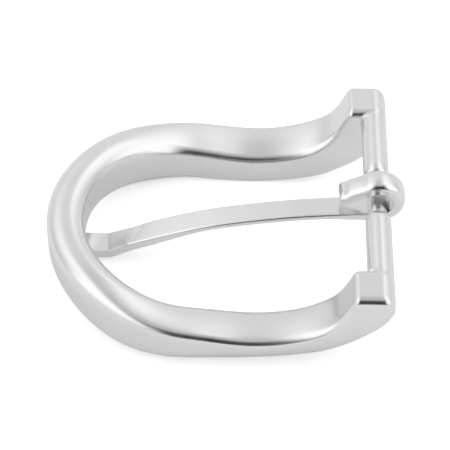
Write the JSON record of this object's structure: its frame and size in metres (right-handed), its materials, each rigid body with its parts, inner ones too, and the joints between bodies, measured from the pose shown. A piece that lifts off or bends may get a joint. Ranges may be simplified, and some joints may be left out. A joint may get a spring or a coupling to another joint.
{
  "type": "belt buckle",
  "caption": "Prong belt buckle with an arched, softly rounded U-shaped hoop, square lugs, a necked cross bar and a curled prong.",
  "frame": {"origin": "bottom centre of the buckle's box: the buckle lies face down on z = 0, and the centre of the cross bar is at x 24.45 mm, z 13.82 mm", "axes": "+X points out past the bar, away from the hoop; +Y runs along the bar; +Z is the back of the buckle, towards the wearer"},
  "size_m": [0.0578, 0.0496, 0.0183],
  "materials": {
    "satin_nickel": "satin nickel plating on a die casting",
    "bright_nickel": "bright nickel plating on bent strip"
  },
  "bodies": {
    "frame": {"frame": "satin_nickel"},
    "prong": {"prong": "bright_nickel"}
  },
  "joints": [
    {"name": "prong_hinge", "type": "hinge", "parent": "frame", "child": "prong", "pos_m": [0.02445, 0, 0.01382], "axis": [0, -1, 0], "range_deg": [0, 347]}
  ]
}
